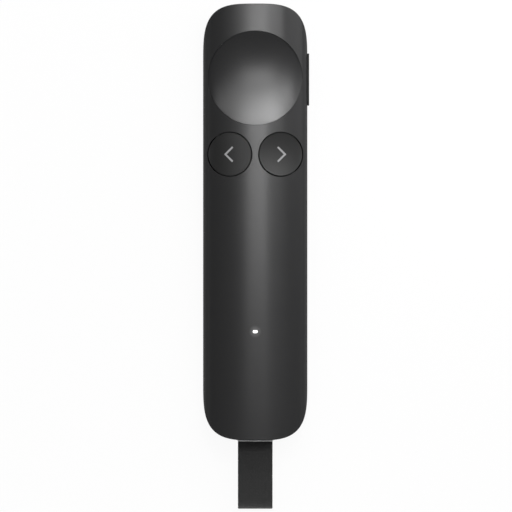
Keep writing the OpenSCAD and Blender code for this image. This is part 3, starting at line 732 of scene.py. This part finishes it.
FOIL = (0.52, 0.55, 0.58)
CREASE_MM = 5.0
CREASE_SHAPE = (1, 0.4, 1)
CREASE_DEPTH_MM = 0.3


def facing_up(material, span, gain):
    """0 where the upright share of a face's normal is under the span, and gain where over."""
    place = node(material, "ShaderNodeTexCoord")
    split = node(material, "ShaderNodeSeparateXYZ")
    link(material, place.outputs["Normal"], split.inputs[0])
    upright_share = math_node(material, "ABSOLUTE", split.outputs["Z"])
    return map_range(material, upright_share, span, (0, gain))


def calm_sides(material):
    """Duller finish where the moulded wall turns steep, for dark rims."""
    flank = facing_up(material, FLANK_UPRIGHT, FLANK_SPECULAR)
    top = facing_up(material, TOP_UPRIGHT, TOP_SPECULAR - FLANK_SPECULAR)
    gloss = math_node(material, "ADD", flank, top)
    link(material, gloss, shader_of(material).inputs["Specular IOR Level"])


def paint_window_glow(material):
    """Painted glow: emission on the shell round the window, in place of the light that the window
    spills.
    """
    place = node(material, "ShaderNodeTexCoord")
    reach = node(material, "ShaderNodeVectorMath", operation="DISTANCE")
    reach.inputs[1].default_value = Vector((0, WINDOW_Y, Z_TOP)) * MM
    link(material, place.outputs["Object"], reach.inputs[0])
    span = [distance * MM for distance in PAINTED_GLOW_MM]
    fade = map_range(material, reach.outputs["Value"], span, (PAINTED_GLOW_STRENGTH, 0))
    shader = shader_of(material)
    shader.inputs["Emission Color"].default_value = WHITE
    link(material, fade, shader.inputs["Emission Strength"])


def make_webbing():
    """Plain weave of dark polyester, along the strap's own run and width."""
    material = new_material("webbing", WEBBING, 0.75, specular=0.35)
    ribs = []
    for direction in ("wide", "run"):
        place = node(material, "ShaderNodeAttribute", attribute_name=direction).outputs["Fac"]
        turns = math_node(material, "MULTIPLY", place, math.pi / (WEAVE_MM * MM))
        ribs.append(math_node(material, "SINE", turns))
    raised = math_node(material, "ABSOLUTE", math_node(material, "MULTIPLY", *ribs))
    fuzz = noise(material, FUZZ_MM, GRAIN_DETAIL)
    height = math_node(material, "MULTIPLY_ADD", fuzz, FUZZ_SHARE, raised)
    vary_color(material, height, WEBBING, 0.18)
    bump(material, height, 0.5, WEAVE_DEPTH_MM)
    shader = shader_of(material)
    shader.inputs["Sheen Weight"].default_value = 0.78
    shader.inputs["Sheen Roughness"].default_value = 0.5
    return material


def make_board():
    """Black solder mask over faint copper tracks."""
    material = new_material("board", MASK, 0.35)
    tracks = node(material, "ShaderNodeTexBrick", Scale=TRACK_SCALE, Color1=MASK_DARK,
                  Color2=(*MASK, 1), Mortar=TRACK)
    tracks.inputs["Mortar Size"].default_value = TRACK_SHARE
    place = node(material, "ShaderNodeTexCoord")
    link(material, place.outputs["Object"], tracks.inputs["Vector"])
    link(material, tracks.outputs["Color"], shader_of(material).inputs["Base Color"])
    bump(material, tracks.outputs["Fac"], 0.3, TRACK_DEPTH_MM)
    return material


def make_foil():
    """Laminated pouch foil: pale, with soft creases."""
    material = new_material("cell", FOIL, 0.38, 0.6)
    crease = noise(material, CREASE_MM, 4.0, CREASE_SHAPE)
    vary_color(material, crease, FOIL, 0.08)
    vary_roughness(material, crease, 0.3, 0.46)
    bump(material, crease, 0.35, CREASE_DEPTH_MM)
    return material


def make_materials():
    """Every material by its name, most of which are slots of the record.

    The names are kept here, as Blender renames a material where the frame has one of its name.
    """
    made = {}
    for make, rows in ((grained, GRAINED), (brushed, BRUSHED), (milky, MILKY)):
        for row in rows:
            made[row[0]] = make(*row)
    made["webbing"] = make_webbing()
    made["board"] = make_board()
    made["cell"] = make_foil()
    # The shell gets a painted glow round the window, as emission.
    paint_window_glow(made["shell"])
    for name in ("shell", "shell_under"):
        calm_sides(made[name])
    return made


materials = make_materials()


# ---- Shells ----

def flared_hole(cx, cy, r):
    """Cutter for a round hole whose mouth follows the crown with a small rounded edge.

    Where it bites into the side wall it ends in a slope, as a level ledge would catch the light.
    """
    rows = [(r - HOLE_SLOPE, HOLE_Z - HOLE_SLOPE), (r, HOLE_Z)]
    for step in range(FILLET_STEPS + 1):
        angle = FLARE_TURN * step / FILLET_STEPS
        spread = HOLE_FLARE * (1 - math.cos(angle))
        sink = HOLE_FLARE * (1 - math.sin(angle))
        rows.append((r + spread, lambda x, y, sink=sink: crown_z(x) - sink))
    rows.append((rows[-1][0], Z_TOP + OVERCUT))
    return polar_solid(cx, cy, rows)


def hole_rim(cx, cy, r):
    return rod(cx, cy, r + RIM_T, RIM_Z, Z_TOP + OVERCUT)


def dock_mouth():
    outline = rounded_outline(HOUSING_W + 2 * DOCK_GAP, HOUSING_H + 2 * DOCK_GAP,
                              HOUSING_R + DOCK_GAP)
    return prism(outline, along_y, -HALF_L - OVERCUT, -HALF_L + WALL + OVERCUT)


def side_slot():
    outline = stadium(SIDE_L + 2 * SIDE_GAP, SIDE_H + 2 * SIDE_GAP)
    return prism(outline, along_x, CLIP_LOW[0], HALF_W + OVERCUT)


def window_prism(inset, low, high):
    outline = stadium(WINDOW_L - 2 * inset, WINDOW_W - 2 * inset)
    return prism([(u, WINDOW_Y + v) for u, v in outline], upright, low, high)


def lip_ring(gap, low, high):
    """Ring of the lip between two heights, grown by gap for the rebate that it enters."""
    outside = WALL - LIP_T - gap
    inside = WALL + gap
    ring = body_solid(crown_columns(outside), level(high), level(low), outside)
    hollow = body_solid(crown_columns(inside), level(high + OVERCUT), level(low - OVERCUT), inside)
    return cut(ring, hollow)


def make_upper_shell():
    outer = body_solid(crown_columns(0, SEAM_GAP), crown_z, level(Z_SEAM), fillet_top=END_FILLET)
    cavity = body_solid(crown_columns(WALL), lambda x: crown_z(x, WALL), level(Z_SPLIT - OVERCUT),
                        WALL)
    kept = [hole_rim(0, POINTER_Y, POINTER_R), hole_rim(-SMALL_X, SMALL_Y, SMALL_R)]
    kept += [rod(x, y, SCREW_POST_R, Z_SEAM, Z_TOP + OVERCUT) for x, y in SCREW_XY]
    kept.append(rod(0, LED_Y, PIPE_BOSS_R, PIPE_BOSS_Z, Z_TOP + OVERCUT))
    # The small keys' rims overlap, so the second one takes a cut of its own.
    last_rim = hole_rim(SMALL_X, SMALL_Y, SMALL_R)
    cut(cavity, together(kept), last_rim)
    cut(outer, cavity, lip_ring(LIP_GAP, Z_SPLIT, Z_SPLIT + LIP_H + SLACK))
    holes = [flared_hole(0, POINTER_Y, POINTER_R)]
    holes += [flared_hole(side * SMALL_X, SMALL_Y, SMALL_R) for side in (-1, 1)]
    holes += [rod(x, y, SCREW_PILOT_R, Z_SPLIT, SCREW_TIP + SLACK) for x, y in SCREW_XY]
    holes.append(rod(0, LED_Y, PIPE_R + SLACK / 2, PIPE_BOSS_Z - OVERCUT, Z_TOP - WALL))
    window = window_prism(0, Z_TOP - WALL - SLACK, Z_TOP + OVERCUT)
    cut(outer, together(holes), window, side_slot(), dock_mouth())
    finish_piece(outer, "upper_shell", "case", "shell", "top_case", [crown])


def make_lower_shell():
    outer = body_solid(belly_columns(), level(Z_SPLIT), belly_z, fillet_bottom=END_FILLET)
    cavity = body_solid(belly_columns(WALL), level(Z_SPLIT + OVERCUT), lambda x: belly_z(x, WALL),
                        WALL)
    kept = [rod(x, y, BOSS_R, -OVERCUT, Z_SPLIT + 2 * OVERCUT) for x, y in SCREW_XY]
    kept += [rod(x, y, SCREW_POST_R, -OVERCUT, BOARD_Z) for x, y in POST_XY]
    cut(cavity, together(kept))
    cut(outer, cavity)
    add(outer, lip_ring(0, Z_SPLIT - LIP_H, Z_SPLIT + LIP_H))
    wide = [rod(x, y, SCREW_HEAD_R + SLACK, -OVERCUT, SCREW_SEAT_Z) for x, y in SCREW_XY]
    wide += [rod(x, y, SCREW_PILOT_R, WALL, BOARD_Z + OVERCUT) for x, y in POST_XY]
    bores = [rod(x, y, SCREW_HOLE_R, SCREW_SEAT_Z - SLACK, Z_SPLIT + OVERCUT) for x, y in SCREW_XY]
    cut(outer, together(wide), together(bores), side_slot(), dock_mouth())
    finish_piece(outer, "lower_shell", "case", "shell", "bottom_case", [belly],
                 finish="shell_under")


def make_light_guide():
    """Clear rod over the light on the board, with a small window at the top."""
    guide = rod(0, LED_Y, PIPE_R, PIPE_BOTTOM, Z_TOP - WALL - SLACK)
    add(guide, window_prism(WINDOW_GAP, Z_TOP - WALL - 2 * SLACK, Z_TOP - WINDOW_GAP))
    finish_piece(guide, "light_guide", "case", "window", "light_pipe")


# ---- Keys ----

def cap_rows(r, height, edge, rings):
    """Rows of a cap's top and rounded edge, from its middle out to its side."""
    rows = [(r * CAP_MIDDLE, height)]
    rows += [((r - edge) * k / rings, height) for k in range(1, rings + 1)]
    for inset, sink in rounded_edge(edge)[1:]:
        rows.append((r - inset, lambda x, y, sink=sink: height(x, y) - sink))
    return rows


def key_solid(cx, cy, r, height, edge, tab_w, rings):
    """Round key with its skirt, its post and two tabs that keep it in its hole."""
    rows = cap_rows(r, height, edge, rings)
    rows += [(r, SKIRT_Z), (r - SKIRT_T, SKIRT_Z), (r - SKIRT_T, ROOF_Z), (POST_R, ROOF_Z),
             (POST_R, STEM_TOP), (POST_R * END_MIDDLE, STEM_TOP)]
    tabs = []
    for side in (-1, 1):
        low, high = sorted((cy + side * (r - TAB_ROOT), cy + side * (r + TAB_REACH)))
        tabs.append(block((cx - tab_w / 2, low, SKIRT_Z), (cx + tab_w / 2, high, SKIRT_Z + TAB_H)))
    return add(polar_solid(cx, cy, rows), together(tabs))


def chevron_outline(cx, cy, side):
    """Chevron whose tip points to side, with square-cut ends."""
    h = CHEVRON_T / math.sqrt(2)
    e = h / 2
    tip, arm = CHEVRON_TIP, CHEVRON_ARM
    points = [(tip + h, 0), (tip - arm + e, arm + e), (tip - arm - e, arm - e),
              (tip - h, 0), (tip - arm - e, e - arm), (tip - arm + e, -arm - e)]
    return [(cx + side * x, cy + y) for x, y in points]


def make_pointer_key():
    height = dished(0, POINTER_Y, POINTER_DISH, POINTER_R, POINTER_BLEND)
    key = key_solid(0, POINTER_Y, POINTER_R - POINTER_GAP, height, POINTER_EDGE, POINTER_TAB_W,
                    POINTER_RINGS)
    finish_piece(key, "pointer_cap", "pointer", "key_dish", "pointer_key", [height])


def make_small_key(word, side, dish):
    """Small round key with a chevron moulded into its top. side is -1 for back, 1 for next."""
    cx = side * SMALL_X
    r = SMALL_R - SMALL_GAP
    height = dished(cx, SMALL_Y, dish, SMALL_R)
    floor_z = crown_z(SMALL_X + CHEVRON_TIP) - dish - CHEVRON_DEPTH
    outline = chevron_outline(cx, SMALL_Y, side)
    key = key_solid(cx, SMALL_Y, r, height, SMALL_EDGE, SMALL_TAB_W, SMALL_RINGS)
    cut(key, prism(outline, upright, floor_z, Z_TOP + OVERCUT))
    rows = cap_rows(r, height, SMALL_EDGE, SMALL_RINGS)
    rows += [(r, SKIRT_Z), (r * END_MIDDLE, SKIRT_Z)]
    mark = polar_solid(cx, SMALL_Y, rows)
    common(mark, prism(outline, upright, floor_z, Z_TOP + OVERCUT))
    finish_piece(key, word + "_cap", word, "key_small", word + "_key", [height])
    finish_piece(mark, word + "_mark", word, "mark", word + "_chevron", [height])


def make_side_key():
    """Slim key with a rounded outer edge, and the post that meets its switch."""
    places = [(0, CLIP_HIGH[0])]
    places += [(inset, SIDE_HIGH[0] - sink) for inset, sink in reversed(rounded_edge(SIDE_EDGE))]
    rings = []
    for inset, x in places:
        outline = stadium(SIDE_L - 2 * inset, SIDE_H - 2 * inset)
        rings.append([along_x(u, v, x) for u, v in outline])
    key = ring_solid(rings)
    circle = stadium(2 * SIDE_POST_R, 2 * SIDE_POST_R - HAIR)
    add(key, prism(circle, along_x, SIDE_LOW[0], CLIP_HIGH[0] + SLACK))
    finish_piece(key, "side_button", "side", "key_side", "side_key")


# ---- Receiver and strap ----

def end_bar(w, h, r, front, back, edge):
    """Bar along Y whose front face follows front(x), with a rounded front edge."""
    rings = []
    for inset, sink in rounded_edge(edge):
        outline = rounded_outline(w, h, r, inset)
        rings.append([along_y(u, v, front(u) + sink) for u, v in outline])
    rings.append([along_y(u, v, back) for u, v in rounded_outline(w, h, r)])
    return ring_solid(rings)


def strap_slot(low, high):
    outline = rounded_outline(STRAP_W + SLACK, STRAP_H + SLACK, SLACK)
    return prism(outline, along_y, low, high)


def make_receiver():
    housing = end_bar(HOUSING_W, HOUSING_H, HOUSING_R, lambda x: -end_y(x), HOUSING_BACK,
                      HOUSING_EDGE)
    cavity = prism(rounded_outline(PLUG_W + SLACK, PLUG_H + SLACK, PLUG_R), along_y, CAVITY_Y,
                   HOUSING_BACK + OVERCUT)
    pocket = prism(rounded_outline(COLLAR_W + SLACK, COLLAR_H + SLACK, COLLAR_R + SLACK / 2),
                   along_y, -HALF_L - OVERCUT, COLLAR_HIGH[1] + SLACK)
    cut(housing, cavity, strap_slot(-HALF_L - OVERCUT, CAVITY_Y + OVERCUT), pocket)
    finish_piece(housing, "receiver_body", "receiver", "receiver_shell", "receiver_housing")


def make_collar():
    """Thin frame round the strap where it leaves the receiver, proud only beside the strap."""
    collar = end_bar(COLLAR_W, COLLAR_H, COLLAR_R, lambda x: COLLAR_FRONT, COLLAR_HIGH[1],
                     COLLAR_EDGE)
    inner, outer = STRAP_W / 2 + SLACK / 2, HALF_W
    cheeks = [block((low, COLLAR_LOW[1] - OVERCUT, 0), (high, COLLAR_FLUSH, Z_TOP))
              for low, high in ((-outer, -inner), (inner, outer))]
    cut(collar, strap_slot(COLLAR_LOW[1] - OVERCUT, COLLAR_HIGH[1] + OVERCUT), together(cheeks))
    finish_piece(collar, "strap_collar", "receiver", "collar", "tab_collar")


def strap_run():
    """Points (y, z, normal y, normal z, run) along the middle of the folded strap.

    The fold is half an ellipse that reaches STRAP_FOLD from the flat stretch.
    """
    mid = (STRAP_H - STRAP_T) / 2
    reach = STRAP_FOLD - STRAP_T / 2
    root, fold = TAB_HIGH[1], TAB_LOW[1] + STRAP_FOLD - STRAP_SLACK
    upper = [(root + (fold - root) * k / STRAP_STEPS, mid, 0.0, 1.0)
             for k in range(STRAP_STEPS + 1)]
    bend = []
    for k in range(1, FOLD_STEPS):
        angle = math.pi / 2 + math.pi * k / FOLD_STEPS
        back, up = math.cos(angle), math.sin(angle)
        bend.append((fold + reach * back, mid * up, back, up))
    lower = [(y, -z, 0.0, -up) for y, z, _, up in reversed(upper)]
    points, run, last = [], 0.0, upper[0]
    for place in upper + bend + lower:
        run += math.dist(place[:2], last[:2])
        points.append((*place, run))
        last = place
    return points


def strap_section():
    """Outline (across, thick) of the webbing: flat, with a denser rounded selvage at each edge."""
    half, thick = STRAP_W / 2, STRAP_T / 2
    flat = half - SELVAGE_W
    outline = [(2 * flat * k / WEB_STEPS - flat, thick * STRAP_FACE) for k in range(WEB_STEPS + 1)]
    for k in range(1, SELVAGE_STEPS):
        angle = math.pi / 2 - math.pi * k / SELVAGE_STEPS
        outline.append((flat + SELVAGE_W * math.cos(angle) ** SELVAGE_ROUND,
                        power(math.sin(angle), SELVAGE_BACK) * thick))
    return outline + [(-across, -thick) for across, thick in outline]


def make_strap():
    section = strap_section()
    rings, runs, wides = [], [], []
    for y, z, ny, nz, run in strap_run():
        rings.append([(across, y + thick * ny, DOCK_Z + z + thick * nz)
                      for across, thick in section])
        runs += [run * MM] * len(section)
        wides += [across * MM for across, _ in section]
    mesh = bpy.data.meshes.new("strap")
    mesh.from_pydata([point for ring in rings for point in ring], [], skin(rings))
    for key, values in (("run", runs), ("wide", wides)):
        mesh.attributes.new(key, "FLOAT", "POINT").data.foreach_set("value", values)
    clean_mesh(mesh)
    strap = finish_piece(new_object("strap", mesh), "strap", "receiver", "webbing", "pull_tab",
                         sharp_deg=STRAP_SHARP_DEG)


# ---- CAD nodes that keep their shape ----

NODE_FINISHES = {"case_screws": "black_steel"}


def dress_nodes():
    """Gives each CAD node that stays its own finish, or else that of its record's slot."""
    for name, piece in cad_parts.items():
        for slot in piece.material_slots:
            wanted = NODE_FINISHES.get(name, slot.material.name.split(".")[0])
            if wanted in materials:
                slot.material = materials[wanted]


# ---- Stage, in metres ----

# Soft boxes hang over the body, turned a little: bright cores, and dimmer frames above them.
# Each is a step higher than the last, as lamps in one plane would hide one another.
# The first eleven radiances, and the fill lamp's, started as the output of a least-squares fit to
# the photograph's shading. They were then scaled, and only some were changed.
KEY_Z = 0.60
KEY_STEP = 0.002
KEY_TURN = 0.16
KEYS = [
    # x, y low, y high, width, radiance
    (0.0155, -0.010, 0.025, 0.073, 4.4),
    (0.018, 0.025, 0.060, 0.068, 17.0),
    (0.015, 0.025, 0.060, 0.320, 1.0),
    (0.024, 0.060, 0.140, 0.320, 0.96),
    (0.024, 0.060, 0.140, 0.700, 0.75),
    (0.130, 0.070, 0.140, 0.260, 2.4),
    (0.038, 0.140, 0.240, 0.060, 9.0),
    (-0.020, 0.140, 0.240, 0.580, 2.5),
    (0.130, 0.140, 0.240, 0.260, 3.8),
    (0.056, 0.240, 0.360, 0.160, 12.5),
    (0.056, 0.240, 0.360, 0.320, 3.6),
    (0.320, 0.140, 0.240, 0.160, 2.0),
    (0.300, 0.240, 0.360, 0.140, 2.5),
]
# The low lamps beside the body and before the strap show only on matt surfaces.
OTHER_LAMPS = [
    # name, place, aim, size, radiance, seen in gloss
    ("fill", (0.535, 0.35, 0.30), (0, 0.35, 0), (0.58, 0.68), 1.6, True),
    ("rear", (0, 0.85, 0.45), (0, 0, 0), (0.90, 0.35), 3.3, True),
    ("side", (0.10, 0.05, 0.016), (0, 0.05, 0.016), (0.06, 0.03), 9.0, False),
    ("front", (0, -0.22, 0.014), (0, 0, 0.014), (0.20, 0.024), 16.0, False),
]
WORLD_LIGHT = 0.30
HORIZON_TOP = 0.24
CEILING = 0.032
FLOOR_R = 1.2
FLOOR_Z = -0.00005
FLOOR_SIDES = 96
FLOOR_COLOR = (0.8, 0.8, 0.8, 1)
FLOOR_SELF = 0.93
FLOOR_FADE = (0.1, 0.6)

LENS = 1000.0
SENSOR = 36.0
CLIP_END = 100.0
IMAGE_PX = 512
PX_MM = 0.28763
CAMERA_X_MM = 0.2185
CAMERA_Y_MM = -9.775
FOCUS_Z_MM = 8.0


def area_light(name, place, aim, size, radiance, in_gloss=True):
    lamp = bpy.data.lights.new(name, "AREA")
    lamp.shape = "RECTANGLE"
    lamp.size, lamp.size_y = size
    lamp.energy = radiance * math.pi * size[0] * size[1]
    holder = new_object(name, lamp)
    holder.location = place
    direction = Vector(aim) - Vector(place)
    holder.rotation_euler = direction.to_track_quat("-Z", "Y").to_euler()
    holder.visible_camera = False
    holder.visible_glossy = in_gloss
    return holder


def make_lights():
    for i, (x, low, high, width, radiance) in enumerate(KEYS):
        y = (low + high) / 2
        z = KEY_Z + i * KEY_STEP
        lamp = area_light(f"key_{i}", (x, y, z), (x, y, 0), (width, high - low), radiance)
        lamp.rotation_euler = (0, 0, -KEY_TURN)
    for row in OTHER_LAMPS:
        area_light(*row)


def background_rays(owner):
    """1 for rays that show the background, by eye, in gloss or through glass, and 0 for light."""
    path = node(owner, "ShaderNodeLightPath")
    by_eye_or_gloss = math_node(owner, "MAXIMUM", path.outputs["Is Camera Ray"],
                                path.outputs["Is Glossy Ray"])
    return math_node(owner, "MAXIMUM", by_eye_or_gloss, path.outputs["Is Transmission Ray"])


def make_world():
    """White behind the object and round it at eye level, dark overhead in gloss, and a low light."""
    world = bpy.data.worlds.new("studio")
    bpy.context.scene.world = world
    world.use_nodes = True
    world.node_tree.nodes.clear()
    light = node(world, "ShaderNodeBackground", Color=WHITE, Strength=WORLD_LIGHT)
    seen = node(world, "ShaderNodeBackground", Color=WHITE)
    place = node(world, "ShaderNodeTexCoord")
    split = node(world, "ShaderNodeSeparateXYZ")
    link(world, place.outputs["Generated"], split.inputs[0])
    ceiling = map_range(world, split.outputs["Z"], (0, HORIZON_TOP), (1, CEILING))
    path = node(world, "ShaderNodeLightPath")
    strength = math_node(world, "MAXIMUM", ceiling, path.outputs["Is Camera Ray"])
    link(world, strength, seen.inputs["Strength"])
    mixed = mix_shaders(world, background_rays(world), light.outputs[0], seen.outputs[0])
    output = node(world, "ShaderNodeOutputWorld")
    link(world, mixed, output.inputs["Surface"])


def floor_material():
    """Looks white and takes the shadow, and is clear from below."""
    material = bpy.data.materials.new("floor")
    material.use_nodes = True
    material.node_tree.nodes.clear()
    matt = node(material, "ShaderNodeBsdfDiffuse", Color=FLOOR_COLOR)
    white = node(material, "ShaderNodeEmission", Color=WHITE)
    place = node(material, "ShaderNodeTexCoord")
    reach = node(material, "ShaderNodeVectorMath", operation="LENGTH")
    link(material, place.outputs["Object"], reach.inputs[0])
    fade = map_range(material, reach.outputs["Value"], FLOOR_FADE, (FLOOR_SELF, 1))
    shown = math_node(material, "MULTIPLY", fade, background_rays(material))
    above = mix_shaders(material, shown, matt.outputs[0], white.outputs[0])
    clear = node(material, "ShaderNodeBsdfTransparent")
    side = node(material, "ShaderNodeNewGeometry")
    both = mix_shaders(material, side.outputs["Backfacing"], above, clear.outputs[0])
    output = node(material, "ShaderNodeOutputMaterial")
    link(material, both, output.inputs["Surface"])
    return material


def make_floor():
    turns = np.arange(FLOOR_SIDES) * 2 * math.pi / FLOOR_SIDES
    points = [(FLOOR_R * math.cos(turn), FLOOR_R * math.sin(turn), FLOOR_Z) for turn in turns]
    mesh = bpy.data.meshes.new("floor")
    mesh.from_pydata(points, [], [tuple(range(FLOOR_SIDES))])
    mesh.materials.append(floor_material())
    new_object("floor", mesh)


def make_camera():
    """Looks straight down with a very long lens, as the photograph does."""
    camera = bpy.data.cameras.new("camera")
    camera.lens = LENS
    camera.sensor_width = SENSOR
    camera.clip_end = CLIP_END
    holder = new_object("camera", camera)
    height = IMAGE_PX * PX_MM * LENS / SENSOR + FOCUS_Z_MM
    holder.location = Vector((CAMERA_X_MM, CAMERA_Y_MM, height)) * MM
    bpy.context.scene.camera = holder


make_camera()
make_lights()
make_world()
make_floor()

make_upper_shell()
make_lower_shell()
make_light_guide()
make_pointer_key()
make_small_key("back", -1, 0.0)
make_small_key("next", 1, NEXT_DISH)
make_side_key()
make_receiver()
make_collar()
make_strap()
dress_nodes()

bpy.context.scene.view_settings.view_transform = "Standard"
